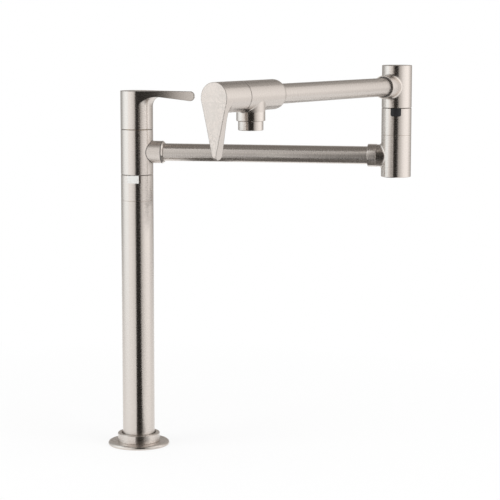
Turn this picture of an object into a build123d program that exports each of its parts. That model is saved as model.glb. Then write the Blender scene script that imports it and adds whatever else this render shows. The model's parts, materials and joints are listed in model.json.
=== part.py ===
from build123d import *
import math
import os

# Deck mount pot filler. Millimetres, +Z up. The origin is on the post's axis, on the deck's top face.
# At rest the lower arm runs along +X, and the upper arm comes back from the elbow towards -Y, the front.
# The post's lever lies over the lower arm, a little to its front, and the outlet's lever hangs down.

# Deck end of the post
flange_diameter = 73.0
flange_height = 4.5
flange_lower_round = 1.7
flange_upper_round = 2.7
flange_seal_margin = 4.5
flange_seal_width = 5.0
flange_seal_depth = 1.2
collar_diameter = 50.0
collar_height = 10.0
collar_land = 3.5
collar_gap = 1.5
collar_edge = 0.6
deck_thickness = 30.0

# Shank, its washers and its nut, and the riser inside the post
shank_diameter = 33.0
shank_length = 60.0
shank_neck_diameter = 24.0
shank_neck_length = 20.0
inlet_diameter = 20.9
inlet_length = 15.0
inlet_bore = 14.0
washer_diameter = 52.0
rubber_washer_thickness = 2.0
steel_washer_thickness = 1.5
shank_nut_wall = 4.5
shank_nut_height = 12.0
foot_length = 22.0
riser_diameter = 16.0
riser_wall = 1.0
riser_seat = 2.0

# Post
post_diameter = 38.0
post_wall = 1.5
post_tube_top = 293.5
sleeve_height = 30.0
sleeve_register = 6.5
core_plug_length = 24.0
core_diameter = 26.0
core_waterway = 13.0
core_riser_socket = 18.5
core_above_swivel = 6.8
core_window_diameter = 7.2
core_seal_offset = 13.0
core_seal_section = 1.8
retainer_clearance = 0.7
retainer_height = 5.5
retainer_slot_width = 3.0
retainer_slot_depth = 1.5
retainer_slots = 4

# Swivels: the gap between the turning faces, and the ring that keeps it
swivel_gap = 0.6
glide_ring_slack = 0.05
post_glide_width = 1.0
elbow_glide_width = 1.6
swivel_height = 52.6
swivel_gallery_wall = 2.5
swivel_gallery_height = 15.0
handle_seam = 0.5

# Stop keys, as angles about their axis from the front (-Y) towards +X
post_key_start = -24.0
post_key_end = 20.0
post_notch_end = 27.0
post_key_height = 9.0
post_groove_offset = 1.3
post_groove_wall = 1.7
post_groove_depth = 7.0
elbow_key_start = -17.0
elbow_key_end = 24.0
elbow_key_height = 8.8
elbow_key_corner = 2.0
elbow_groove_offset = 2.0
elbow_groove_wall = 2.8
elbow_groove_depth = 6.0
key_lug_angle = 20.0
key_side_gap = 0.3
key_end_gap = 1.5
post_swing = 90.0
elbow_swing_in = 38.0
elbow_swing_out = 262.0

# Arms
arm_length = 305.0
elbow_angle = 68.0
arm_tube_diameter = 20.5
arm_tube_wall = 1.5
arm_tube_seat = 7.0
tube_shoulder = 3.0
post_boss_diameter = 26.0
post_boss_reach = 31.0
end_ring_length = 2.2
end_ring_bevel = 1.6
collar_ring_diameter = 26.0
collar_ring_length = 10.2
collar_ring_bevel = 2.2

# Elbow
elbow_diameter = 34.0
elbow_housing_height = 48.0
elbow_ring_height = 30.4
elbow_boss_diameter = 25.0
elbow_boss_reach = 22.0
elbow_boss_fillet = 3.0
elbow_edge = 0.6
elbow_register_wall = 4.0
elbow_register_height = 2.0
elbow_gallery_wall = 4.5
elbow_gallery_height = 14.0
elbow_cap_wall = 3.5
elbow_cap_height = 5.0
elbow_cap_hole = 3.0
elbow_cap_hole_depth = 3.0
elbow_cap_hole_inset = 4.5
elbow_chamber_height = 5.6
upper_cavity_wall = 6.0
upper_cavity_roof = 12.0
spigot_diameter = 18.0
spigot_bore = 11.0
spigot_seat = 12.6
spigot_window_diameter = 7.0
spigot_seal_offset = 10.4
spigot_seal_section = 1.7
spigot_floor = 1.0
spigot_tail = 2.0
circlip_groove_depth = 1.7
circlip_thickness = 1.2
circlip_width = 4.0
circlip_gap = 0.2

# Outlet
nozzle_reach = 305.0
outlet_diameter = 30.5
outlet_back_length = 50.0
outlet_back_round = 10.0
outlet_front_length = 21.0
outlet_tube_seat = 13.0
nozzle_diameter = 29.0
nozzle_drop = 25.2
nozzle_bore = 16.0
nozzle_wall = 3.0
nozzle_fillet = 2.0
nozzle_edge = 0.5
outlet_gallery_wall = 3.75
outlet_gallery_length = 12.0
aerator_diameter = 25.3
aerator_height = 9.3
aerator_neck_length = 7.7
aerator_wall = 1.7
aerator_lip = 1.2
aerator_edge = 0.5
aerator_insert_height = 8.0
aerator_hole_diameter = 1.8
aerator_hole_pitch = 3.1
aerator_hole_rings = 2
aerator_seal_thickness = 1.2
aerator_seal_width = 3.0

# Valves: the same ceramic cartridge in the post and in the outlet
cartridge_diameter = 19.0
cartridge_wall = 1.0
cartridge_chamber_height = 13.0
cartridge_window_height = 10.5
cartridge_window_diameter = 6.8
cartridge_neck_wall = 2.5
cartridge_neck_length = 6.5
post_cartridge_length = 36.0
outlet_cartridge_length = 28.0
seat_washer_height = 2.0
seat_washer_width = 4.0
disc_thickness = 2.5
disc_gap = 0.05
disc_slack = 0.2
disc_hub_diameter = 6.0
disc_port_margin = 1.3
disc_ports = 2
disc_port_angle = 80.0
disc_port_turn = 90.0
stem_diameter = 8.0
stem_bar_width = 5.0
stem_bar_length = 14.0
stem_bar_height = 2.0
stem_flat = 0.5
stem_flat_length = 8.4
stem_top_gap = 0.3
gland_head_margin = 1.0
gland_head_height = 3.6

# Levers: a hub with a flat teardrop face, whose blade thickens towards a rounded tip
post_hub_length = 44.6
post_lever_reach = 72.0
post_lever_neck = 6.7
post_lever_tip = 11.2
post_lever_flare = 11.0
post_lever_hollow = 270.0
post_lever_nose = 0.9
post_lever_turn = -7.0
post_hub_wall = 2.5
post_hub_cavity_depth = 16.0
outlet_hub_length = 44.0
outlet_lever_reach = 61.0
outlet_lever_neck = 6.7
outlet_lever_tip = 11.0
outlet_lever_flare = 6.8
outlet_lever_hollow = 2000.0
outlet_lever_nose = 1.8
outlet_hub_wall = 2.55
outlet_hub_cavity_depth = 10.6
lever_face_thickness = 8.2
post_screw_side = 180.0
outlet_screw_side = -90.0
grub_diameter = 4.2
grub_length = 9.0
grub_socket_flats = 2.0
grub_socket_depth = 3.0

# Common: sliding fit, bevel at the seams, room round a seal, and how far cutters reach past what they cut
fit = 0.05
seam_bevel = 0.3
seal_slack = 0.1
over = 1.0

# Sizes and heights that follow from the ones above
post_radius = post_diameter / 2
post_bore_radius = post_radius - post_wall
core_radius = core_diameter / 2
elbow_radius = elbow_diameter / 2
outlet_radius = outlet_diameter / 2
spigot_radius = spigot_diameter / 2
tube_radius = arm_tube_diameter / 2
tube_bore_radius = tube_radius - arm_tube_wall
cartridge_radius = cartridge_diameter / 2
chamber_radius = cartridge_radius - cartridge_wall
stem_radius = stem_diameter / 2
cartridge_neck_radius = stem_radius + cartridge_neck_wall
shank_radius = shank_diameter / 2
flange_radius = flange_diameter / 2
nozzle_radius = nozzle_diameter / 2
aerator_neck_radius = nozzle_radius - nozzle_wall
aerator_bore_radius = aerator_neck_radius - aerator_wall
post_groove_inner = core_radius + post_groove_offset
post_groove_outer = post_radius - post_groove_wall
elbow_groove_inner = spigot_radius + elbow_groove_offset
elbow_groove_outer = elbow_radius - elbow_groove_wall
post_hub_cavity = post_radius - post_hub_wall
outlet_hub_cavity = outlet_radius - outlet_hub_wall
sleeve_top = post_tube_top + sleeve_height
swivel_bottom = sleeve_top + swivel_gap
swivel_top = swivel_bottom + swivel_height
lower_arm_height = swivel_bottom + swivel_height / 2
core_top = swivel_top + core_above_swivel
core_seat = lower_arm_height - cartridge_window_height
post_hub_bottom = swivel_top + handle_seam
post_hub_top = post_hub_bottom + post_hub_length
elbow_bottom = lower_arm_height - elbow_housing_height / 2
elbow_ring_bottom = elbow_bottom + elbow_housing_height
elbow_ring_top = elbow_ring_bottom + elbow_ring_height
upper_housing_bottom = elbow_ring_top + swivel_gap
upper_arm_height = upper_housing_bottom + elbow_housing_height / 2
upper_housing_top = upper_housing_bottom + elbow_housing_height
outlet_back = nozzle_reach - outlet_back_length
outlet_front = nozzle_reach + outlet_front_length
outlet_seat = nozzle_reach - cartridge_window_height
outlet_hub_start = outlet_front + handle_seam
outlet_face = outlet_hub_start + outlet_hub_length

# Frames: the lower arm from the post, the elbow, the upper arm from the elbow, and the two lever faces
upper_direction = Vector(-math.cos(math.radians(elbow_angle)), -math.sin(math.radians(elbow_angle)), 0)
elbow_centre = Vector(arm_length, 0, upper_arm_height)
elbow_axis = Pos(arm_length, 0, 0)
down = (0, 0, -1)
lower_elbow_centre = Vector(arm_length, 0, lower_arm_height)
lower_from_post = Plane(origin=(0, 0, lower_arm_height), x_dir=down, z_dir=(1, 0, 0)).location
lower_from_elbow = Plane(origin=lower_elbow_centre, x_dir=down, z_dir=(-1, 0, 0)).location
upper_arm = Plane(origin=elbow_centre, x_dir=down, z_dir=upper_direction).location
post_valve = Pos(0, 0, core_seat)
post_lever_valve = post_valve * Rot(0, 0, post_lever_turn)
outlet_valve = upper_arm * Pos(0, 0, outlet_seat)
post_lever_face = Pos(0, 0, post_hub_top) * Rot(0, 0, post_lever_turn)
outlet_lever_face = upper_arm * Pos(0, 0, outlet_face)

parts = {}


def turned(outline):
    """Solid turned about Z from a closed outline of radius and height points."""
    return revolve(make_face(Plane.XZ * Polyline(*outline, close=True)), Axis.Z)


def rod(radius, low, high):
    """Plain round bar about Z."""
    return Pos(0, 0, low) * Cylinder(radius, high - low, align=(Align.CENTER, Align.CENTER, Align.MIN))


def ring(outer, inner, low, high, bevel_low=0.0, bevel_high=0.0):
    """Round ring about Z, with its outer edges bevelled."""
    outline = [(inner, low), (outer - bevel_low, low)]
    if bevel_low > 0:
        outline.append((outer, low + bevel_low))
    outline.append((outer, high - bevel_high))
    if bevel_high > 0:
        outline.append((outer - bevel_high, high))
    outline.append((inner, high))
    return turned(outline)


def hexagon(flats, low, high):
    """Hexagonal bar about Z, by its size across flats."""
    return Pos(0, 0, low) * extrude(RegularPolygon(flats / 2, 6, major_radius=False), high - low)


def sector(inner, outer, start, end, low, high):
    """Piece of a ring about Z, between two angles from the front (-Y) towards +X."""
    section = Plane.XZ * Pos((inner + outer) / 2, (low + high) / 2) * Rectangle(outer - inner, high - low)
    return Rot(0, 0, start - 90) * revolve(section, Axis.Z, revolution_arc=end - start)


def hole_across(radius, reach):
    """Round cutter along +X from the axis."""
    return Rot(0, 90, 0) * rod(radius, 0, reach)


def windows(radius, height, reach):
    """Four round cutters square to the axis, at one height."""
    hole = Pos(0, 0, height) * hole_across(radius, reach)
    return [Rot(0, 0, quarter * 90) * hole for quarter in range(4)]


def o_ring(outer, section, height):
    """O-ring about Z that just fits inside a bore."""
    return Pos(0, 0, height) * Torus(outer - section / 2, section / 2)


def seal_groove(outer, section, height):
    """Cutter for the groove that holds an O-ring."""
    half = section / 2 + seal_slack
    return ring(outer + over, outer - section - seal_slack, height - half, height + half)


def saddle_edges(solid):
    """Edges where a round boss meets a round body."""
    return solid.edges().filter_by(lambda edge: edge.geom_type not in (GeomType.CIRCLE, GeomType.LINE))


def add(name, shape):
    """Keep one finished piece under its node's name."""
    parts[name] = shape


# Deck flange, its seal and the collar round the post's foot
flange = ring(flange_radius, shank_radius + fit, 0, flange_height)
rim = flange.edges().filter_by(GeomType.CIRCLE).filter_by(lambda edge: edge.radius > flange_radius - fit)
flange = fillet(rim.sort_by(Axis.Z)[0], flange_lower_round)
rim = flange.edges().filter_by(GeomType.CIRCLE).sort_by(Axis.Z)[-2:]
flange = fillet(rim.sort_by(SortBy.RADIUS)[-1], flange_upper_round)
seal_outer = flange_radius - flange_seal_margin
seal_inner = seal_outer - flange_seal_width
flange -= ring(seal_outer, seal_inner, -over, flange_seal_depth)
add("deck_flange", flange)
add("flange_seal", ring(seal_outer - fit, seal_inner + fit, 0, flange_seal_depth - fit))
collar_top = flange_height + collar_height
collar = ring(collar_diameter / 2, post_radius + fit, flange_height, collar_top, seam_bevel, collar_edge)
collar -= rod(post_radius + collar_gap, flange_height + collar_land, collar_top + over)
add("base_collar", collar)

# Shank through the deck, with its washers and its nut
neck_top = flange_height + shank_neck_length
shank = rod(shank_radius, -shank_length, flange_height)
shank += rod(shank_neck_diameter / 2 - fit, flange_height, neck_top)
shank += rod(inlet_diameter / 2, -shank_length - inlet_length, -shank_length)
shank -= rod(inlet_bore / 2, -shank_length - inlet_length - over, neck_top + over)
shank -= rod(riser_diameter / 2 + fit, flange_height + riser_seat, neck_top + over)
add("threaded_shank", shank)
shank_hole = shank_radius + fit
rubber_bottom = -deck_thickness - rubber_washer_thickness
steel_bottom = rubber_bottom - steel_washer_thickness
add("shank_rubber_washer", ring(washer_diameter / 2, shank_hole, rubber_bottom, -deck_thickness))
steel_washer = ring(washer_diameter / 2, shank_hole, steel_bottom, rubber_bottom, seam_bevel, seam_bevel)
add("shank_steel_washer", steel_washer)
nut_bottom = steel_bottom - shank_nut_height
shank_nut = hexagon(shank_diameter + 2 * shank_nut_wall, nut_bottom, steel_bottom)
add("shank_nut", shank_nut - rod(shank_hole, nut_bottom - over, steel_bottom + over))

# Post: foot, riser, tube and the sleeve with the notch for the stop key
foot = ring(post_bore_radius - fit, shank_neck_diameter / 2, flange_height, flange_height + foot_length)
add("post_foot", foot)
core_bottom = post_tube_top - core_plug_length
riser_top = core_bottom + core_riser_socket
riser_bore = riser_diameter / 2 - riser_wall
add("riser_tube", ring(riser_diameter / 2, riser_bore, flange_height + riser_seat, riser_top))
add("post_tube", ring(post_radius, post_bore_radius, flange_height, post_tube_top, 0, seam_bevel))
notch_bottom = sleeve_top - post_key_height
register_top = post_tube_top + sleeve_register
sleeve = ring(post_radius, core_radius + fit, post_tube_top, sleeve_top, seam_bevel, seam_bevel)
sleeve -= rod(post_bore_radius, post_tube_top - over, register_top)
sleeve -= sector(post_groove_inner, post_radius + over, post_key_start - fit, post_notch_end, notch_bottom,
                 sleeve_top + over)
add("stop_sleeve", sleeve)

# Stop key of the post: it fills its notch but for a gap on the right, and its lug rides in the groove above
lug_top = swivel_bottom + post_groove_depth - key_side_gap
key_inner = post_groove_inner + fit
key = sector(key_inner, post_radius - fit, post_key_start, post_key_end, notch_bottom, sleeve_top)
post_lug_angle = (post_key_start + post_key_end) / 2
lug_inner = post_groove_inner + key_side_gap
lug_outer = post_groove_outer - key_side_gap
half_lug = key_lug_angle / 2
lug_start = post_lug_angle - half_lug
lug_end = post_lug_angle + half_lug
key += sector(lug_inner, lug_outer, lug_start, lug_end, sleeve_top - over, lug_top)
add("post_stop_key", key)

# Valve core: the fixed journal that the lower arm turns on, with the post's valve inside it
core = rod(post_bore_radius - fit, core_bottom, register_top)
core += rod(core_radius, register_top, core_top)
core -= rod(core_waterway / 2, core_bottom - over, core_seat + over)
core -= rod(riser_diameter / 2 + fit, core_bottom - over, riser_top)
core -= rod(cartridge_radius, core_seat, core_top + over)
core -= windows(core_window_diameter / 2, lower_arm_height, core_radius + over)
core_seals = []
for side in (-1, 1):
    height = lower_arm_height + side * core_seal_offset
    core -= seal_groove(core_radius, core_seal_section, height)
    core_seals.append(o_ring(core_radius - fit, core_seal_section, height))
add("valve_core", core)
add("core_seals", Compound(children=core_seals))
glide_bottom = sleeve_top
glide_top = swivel_bottom - glide_ring_slack
glide_inner = core_radius + fit
add("post_glide_ring", ring(glide_inner + post_glide_width, glide_inner, glide_bottom, glide_top))
retainer_bottom = swivel_top + glide_ring_slack
retainer_top = retainer_bottom + retainer_height
retainer_radius = post_hub_cavity - retainer_clearance
retainer = ring(retainer_radius, core_radius + fit, retainer_bottom, retainer_top, 0, seam_bevel)
slot = Box(retainer_slot_depth * 2, retainer_slot_width, retainer_height + over)
for turn in range(retainer_slots):
    middle = Pos(retainer_radius, 0, (retainer_bottom + retainer_top) / 2)
    retainer -= Rot(0, 0, turn * 360 / retainer_slots) * middle * slot
add("post_retainer_nut", retainer)


def valve_body(length, bore_end):
    """Cartridge that holds the discs: chamber with side windows, and a neck round the stem."""
    neck_end = bore_end + cartridge_neck_length
    body = rod(cartridge_radius - fit, seat_washer_height, length)
    body += rod(cartridge_neck_radius, length, neck_end)
    body -= rod(chamber_radius, seat_washer_height - over, seat_washer_height + cartridge_chamber_height)
    body -= rod(stem_radius + fit, 0, neck_end + over)
    return body - windows(cartridge_window_diameter / 2, cartridge_window_height, cartridge_radius + over)


def seat_washer():
    """Rubber washer under the fixed disc."""
    return ring(cartridge_radius - fit, cartridge_radius - seat_washer_width, 0, seat_washer_height)


def port_cutters(inner, outer, first, low, high):
    """Cutters for the ports of a disc, spread evenly from the first one's middle."""
    half = disc_port_angle / 2
    middles = [first + port * 360 / disc_ports for port in range(disc_ports)]
    return [sector(inner, outer, middle - half, middle + half, low, high) for middle in middles]


def fixed_disc():
    """Ceramic disc with its ports in line with the lever."""
    top = seat_washer_height + disc_thickness
    port_outer = chamber_radius - disc_port_margin
    ports = port_cutters(disc_hub_diameter / 2, port_outer, disc_port_turn, 0, top + over)
    return rod(chamber_radius - fit, seat_washer_height, top) - ports


def moving_disc():
    """Ceramic disc that covers the ports at rest, and uncovers them a quarter turn on."""
    low = seat_washer_height + disc_thickness + disc_gap
    top = low + disc_thickness
    radius = chamber_radius - disc_slack
    ports = port_cutters(disc_hub_diameter / 2, radius + over, 0, low - over, top + over)
    return rod(radius, low, top) - ports


def stem(top, flat_middle, flat_side):
    """Stem with the bar that drives the moving disc, and a flat for the grub screw."""
    low = seat_washer_height + 2 * disc_thickness + disc_gap
    piece = Pos(0, 0, low + stem_bar_height / 2) * Box(stem_bar_length, stem_bar_width, stem_bar_height)
    piece += rod(stem_radius, low + stem_bar_height, top)
    flat = Pos(stem_radius, 0, flat_middle) * Box(2 * stem_flat, stem_diameter, stem_flat_length)
    return piece - Rot(0, 0, flat_side) * flat


def gland_nut(low, end):
    """Threaded ring that holds the cartridge down, with a hexagon head outside the bore."""
    head_end = end + gland_head_height
    head = hexagon(cartridge_diameter + 2 * gland_head_margin, end, head_end)
    nut = rod(cartridge_radius - fit, low, end) + head
    return nut - rod(cartridge_neck_radius + fit, low - over, head_end + over)


def teardrop(head, reach, hollow, nose):
    """Face of a lever: hollow sides from the hub to a small round nose, closed at the hub's centre."""
    span = reach - nose
    head_reach = head + hollow
    nose_reach = nose + hollow
    across = (span ** 2 + head_reach ** 2 - nose_reach ** 2) / (2 * span)
    centre = Vector(across, math.sqrt(head_reach ** 2 - across ** 2))
    nose_centre = Vector(span, 0)
    head_point = centre * (head / head_reach)
    nose_point = nose_centre + (centre - nose_centre) * (nose / nose_reach)
    towards = ((head_point + nose_point) * 0.5 - centre).normalized()
    side = ThreePointArc(head_point, centre + towards * hollow, nose_point)
    end = ThreePointArc(nose_point, (reach, 0), (nose_point.X, -nose_point.Y))
    inside = Polyline((head_point.X, -head_point.Y), (0, 0), (head_point.X, head_point.Y))
    return make_face([side, end, mirror(side, Plane.XZ), inside])


def lever(head, length, reach, neck, tip, flare, hollow, nose):
    """Hub and blade in one casting: the face at z = 0, the hub below it and the blade along +X."""
    level = head + flare
    straight = reach - tip / 2
    outline = [
        Polyline((level, -neck), (0, -neck), (0, 0), (straight, 0)),
        ThreePointArc((straight, 0), (reach, -tip / 2), (straight, -tip)),
        Line((straight, -tip), (level, -neck)),
    ]
    blade = extrude(make_face([Plane.XZ * edge for edge in outline]), head, both=True)
    lean = flare * math.sqrt(0.5)
    foot = -neck - flare
    path = Plane.XZ * ThreePointArc((0, foot), (flare - lean, foot + lean), (flare, -neck))
    blade += sweep(Pos(0, 0, foot) * Circle(head), path, normal=(0, 0, 1))
    blade &= extrude(teardrop(head, reach, hollow, nose), length, dir=(0, 0, -1))
    return blade + rod(head, -length, 0)


def grub_screw():
    """Socket screw along +X, from the stem's flat outwards."""
    screw = Pos(stem_radius - stem_flat, 0, 0) * hole_across(grub_diameter / 2 - fit, grub_length)
    end = stem_radius - stem_flat + grub_length
    socket = Rot(0, 90, 0) * hexagon(grub_socket_flats, end - grub_socket_depth, end + over)
    return screw - socket


def handle(piece, head, length, cavity, cavity_depth, screw_side):
    """Finished lever, with the hub's cavity, the stem's bore and the grub screw's hole cut out of it."""
    piece -= rod(cavity, -length - over, -length + cavity_depth)
    piece -= rod(stem_radius + fit, -length, -lever_face_thickness)
    hole = Rot(0, 0, screw_side) * hole_across(grub_diameter / 2, head + over)
    return piece - Pos(0, 0, grub_height(length, cavity_depth)) * hole


def grub_height(length, cavity_depth):
    """Height of the grub screw below the face: half-way up the stem's bore."""
    return -(length - cavity_depth + lever_face_thickness) / 2


# Post valve and its lever
post_bore_end = core_top - core_seat
add("post_seat_washer", post_valve * seat_washer())
add("post_fixed_disc", post_valve * fixed_disc())
add("post_cartridge", post_valve * valve_body(post_cartridge_length, post_bore_end))
add("post_gland_nut", post_valve * gland_nut(post_cartridge_length, post_bore_end))
post_stem_top = post_hub_top - lever_face_thickness - stem_top_gap - core_seat
post_grub = grub_height(post_hub_length, post_hub_cavity_depth)
add("post_moving_disc", post_lever_valve * moving_disc())
post_flat = post_hub_top + post_grub - core_seat
add("post_stem", post_lever_valve * stem(post_stem_top, post_flat, post_screw_side))
post_screw = Pos(0, 0, post_grub) * Rot(0, 0, post_screw_side) * grub_screw()
add("post_grub_screw", post_lever_face * post_screw)
post_lever = lever(post_radius, post_hub_length, post_lever_reach, post_lever_neck, post_lever_tip,
                   post_lever_flare, post_lever_hollow, post_lever_nose)
post_handle = handle(post_lever, post_radius, post_hub_length, post_hub_cavity, post_hub_cavity_depth,
                     post_screw_side)
add("post_handle", post_lever_face * post_handle)

# Swivel housing that turns on the core, with the boss for the lower arm
swivel = ring(post_radius, core_radius + fit, swivel_bottom, swivel_top, seam_bevel, seam_bevel)
swivel += lower_from_post * rod(post_boss_diameter / 2, core_radius + over, post_boss_reach)
gallery_low = lower_arm_height - swivel_gallery_height / 2
gallery_high = lower_arm_height + swivel_gallery_height / 2
swivel -= rod(post_radius - swivel_gallery_wall, gallery_low, gallery_high)
post_shoulder = post_radius - tube_shoulder / 2
swivel -= lower_from_post * rod(tube_bore_radius, 0, post_boss_reach + over)
swivel -= lower_from_post * rod(tube_radius + fit, post_shoulder, post_boss_reach + over)
post_groove_half = post_swing + half_lug + key_end_gap
swivel -= rod(core_radius + fit, swivel_bottom - over, swivel_top + over)
swivel -= sector(post_groove_inner, post_groove_outer, post_lug_angle - post_groove_half,
                 post_lug_angle + post_groove_half, swivel_bottom - over, swivel_bottom + post_groove_depth)
add("swivel_housing", swivel)
end_ring_end = post_boss_reach + end_ring_length
tube_hole = tube_radius + fit
end_ring = ring(post_boss_diameter / 2, tube_hole, post_boss_reach, end_ring_end, seam_bevel, end_ring_bevel)
add("lower_arm_end_ring", lower_from_post * end_ring)

# Lower arm: its tube, and the collar where the tube enters the elbow
tube_end = elbow_boss_reach - arm_tube_seat
lower_tube = ring(tube_radius, tube_bore_radius, post_shoulder + fit, arm_length - tube_end)
add("lower_arm_tube", lower_from_post * lower_tube)
collar_ring_end = elbow_boss_reach + collar_ring_length
collar_ring = ring(collar_ring_diameter / 2, tube_hole, elbow_boss_reach, collar_ring_end, seam_bevel,
                   collar_ring_bevel)
add("lower_arm_collar", lower_from_elbow * collar_ring)


def elbow_housing(low, high, bevel_low, bevel_high, arm_frame):
    """Round housing about the elbow's axis, with the filleted boss that takes an arm's tube."""
    body = elbow_axis * ring(elbow_radius, 0, low, high, bevel_low, bevel_high)
    body += arm_frame * rod(elbow_boss_diameter / 2, 0, elbow_boss_reach)
    body = fillet(saddle_edges(body), elbow_boss_fillet)
    body -= arm_frame * rod(tube_bore_radius, 0, elbow_boss_reach + over)
    return body - arm_frame * rod(tube_radius + fit, tube_end - fit, elbow_boss_reach + over)


# Lower elbow housing, open below for the circlip and closed by its cap
chamber_low = elbow_bottom + elbow_cap_height
chamber_high = chamber_low + elbow_chamber_height
register_end = elbow_ring_bottom + elbow_register_height
register_radius = elbow_radius - elbow_register_wall
gallery_radius = elbow_radius - elbow_gallery_wall
cap_radius = elbow_radius - elbow_cap_wall
lower_housing = elbow_housing(elbow_bottom, elbow_ring_bottom, elbow_edge, seam_bevel, lower_from_elbow)
lower_housing += elbow_axis * rod(register_radius, elbow_ring_bottom, register_end)
lower_housing -= elbow_axis * rod(spigot_radius + fit, elbow_bottom - over, register_end + over)
lower_housing -= elbow_axis * rod(cap_radius + fit, elbow_bottom - over, chamber_low)
lower_housing -= elbow_axis * rod(gallery_radius, chamber_low - over, chamber_high)
lower_housing -= elbow_axis * rod(gallery_radius, lower_arm_height - elbow_gallery_height / 2,
                                  lower_arm_height + elbow_gallery_height / 2)
add("elbow_lower_housing", lower_housing)
cap = ring(cap_radius, 0, elbow_bottom, chamber_low, seam_bevel, 0)
cap_hole = rod(elbow_cap_hole / 2, elbow_bottom - over, elbow_bottom + elbow_cap_hole_depth)
for side in (-1, 1):
    cap -= Pos(side * (cap_radius - elbow_cap_hole_inset), 0, 0) * cap_hole
add("elbow_bottom_cap", elbow_axis * cap)

# Elbow ring with the black stop key in its notch
elbow_notch_bottom = elbow_ring_top - elbow_key_height


def key_block(inner, outer, slack, top):
    """Key-shaped sector with rounded lower corners. Slack grows it into the notch's cutter."""
    start = elbow_key_start - slack
    end = elbow_key_end + slack
    block = sector(inner, outer, start, end, elbow_notch_bottom, top)
    bottom_sides = block.edges().filter_by(GeomType.LINE).group_by(Axis.Z)[0]
    return fillet(bottom_sides, elbow_key_corner)


spigot_hole = spigot_radius + fit
elbow_ring = ring(elbow_radius, spigot_hole, elbow_ring_bottom, elbow_ring_top, seam_bevel, seam_bevel)
elbow_ring -= rod(register_radius + fit, elbow_ring_bottom - over, register_end + fit)
elbow_ring -= key_block(elbow_groove_inner, elbow_radius + over, fit, elbow_ring_top + over)
add("elbow_ring", elbow_axis * elbow_ring)
elbow_key = key_block(elbow_groove_inner + fit, elbow_radius - fit, 0, elbow_ring_top)
elbow_lug_angle = (elbow_key_start + elbow_key_end) / 2
elbow_lug_top = upper_housing_bottom + elbow_groove_depth - key_side_gap
elbow_lug_inner = elbow_groove_inner + key_side_gap
elbow_lug_outer = elbow_groove_outer - key_side_gap
elbow_lug_start = elbow_lug_angle - half_lug
elbow_lug_end = elbow_lug_angle + half_lug
elbow_key += sector(elbow_lug_inner, elbow_lug_outer, elbow_lug_start, elbow_lug_end,
                    elbow_ring_top - over, elbow_lug_top)
add("elbow_stop_key", elbow_axis * elbow_key)
elbow_glide_top = upper_housing_bottom - glide_ring_slack
elbow_glide = ring(spigot_hole + elbow_glide_width, spigot_hole, elbow_ring_top, elbow_glide_top)
add("elbow_glide_ring", elbow_axis * elbow_glide)

# Upper elbow housing, closed above, with the groove that the key's lug rides in
upper_housing = elbow_housing(upper_housing_bottom, upper_housing_top, seam_bevel, elbow_edge, upper_arm)
cavity_low = upper_housing_bottom + spigot_seat
upper_housing -= elbow_axis * rod(spigot_radius + fit, upper_housing_bottom - over, cavity_low + over)
cavity_high = upper_housing_top - upper_cavity_roof
upper_housing -= elbow_axis * rod(elbow_radius - upper_cavity_wall, cavity_low, cavity_high)
upper_housing -= elbow_axis * sector(elbow_groove_inner, elbow_groove_outer,
                                     elbow_lug_angle - elbow_swing_out - half_lug - key_end_gap,
                                     elbow_lug_angle + elbow_swing_in + half_lug + key_end_gap,
                                     upper_housing_bottom - over, upper_housing_bottom + elbow_groove_depth)
add("elbow_upper_housing", upper_housing)

# Spigot that joins the two housings and carries the water up, with its seals and its circlip
circlip_high = chamber_high - circlip_gap
circlip_low = circlip_high - circlip_thickness
spigot_bottom = circlip_low - spigot_tail
bore_low = lower_arm_height - spigot_window_diameter / 2 - spigot_floor
spigot = rod(spigot_radius, spigot_bottom, cavity_low)
spigot -= rod(spigot_bore / 2, bore_low, cavity_low + over)
spigot -= windows(spigot_window_diameter / 2, lower_arm_height, spigot_radius + over)
circlip_seat = spigot_radius - circlip_groove_depth
spigot -= ring(spigot_radius + over, circlip_seat, circlip_low - fit, circlip_high + fit)
spigot_seals = []
for side in (-1, 1):
    height = lower_arm_height + side * spigot_seal_offset
    spigot -= seal_groove(spigot_radius, spigot_seal_section, height)
    spigot_seals.append(elbow_axis * o_ring(spigot_radius - fit, spigot_seal_section, height))
add("elbow_spigot", elbow_axis * spigot)
add("spigot_seals", Compound(children=spigot_seals))
circlip_inner = circlip_seat + fit
circlip = ring(circlip_inner + circlip_width, circlip_inner, circlip_low, circlip_high)
add("spigot_circlip", elbow_axis * circlip)

# Upper arm: collar and tube
add("upper_arm_collar", upper_arm * collar_ring)
upper_tube = ring(tube_radius, tube_bore_radius, tube_end, outlet_back + outlet_tube_seat)
add("upper_arm_tube", upper_arm * upper_tube)

# Outlet body: a round barrel along the arm with a domed back, and the nozzle under it
dome_side = outlet_back + outlet_back_round
dome_start = outlet_radius - outlet_back_round
front_side = outlet_front - seam_bevel
barrel_edges = [
    Polyline((dome_start, outlet_back), (0, outlet_back), (0, outlet_front)),
    Polyline((0, outlet_front), (outlet_radius - seam_bevel, outlet_front), (outlet_radius, front_side)),
    Line((outlet_radius, front_side), (outlet_radius, dome_side)),
    RadiusArc((outlet_radius, dome_side), (dome_start, outlet_back), outlet_back_round),
]
barrel = revolve(make_face([Plane.XZ * edge for edge in barrel_edges]), Axis.Z)
nozzle_axis = Pos(0, 0, nozzle_reach) * Rot(0, 90, 0)
outlet_body = barrel + nozzle_axis * ring(nozzle_radius, 0, 0, nozzle_drop, 0, nozzle_edge)
outlet_body = fillet(saddle_edges(outlet_body), nozzle_fillet)
outlet_body -= rod(tube_bore_radius, outlet_back - over, outlet_seat + over)
outlet_body -= rod(tube_radius + fit, outlet_back - over, outlet_back + outlet_tube_seat)
outlet_body -= rod(cartridge_radius, outlet_seat, outlet_front + over)
gallery_half = outlet_gallery_length / 2
outlet_gallery = outlet_radius - outlet_gallery_wall
outlet_body -= rod(outlet_gallery, nozzle_reach - gallery_half, nozzle_reach + gallery_half)
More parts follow.
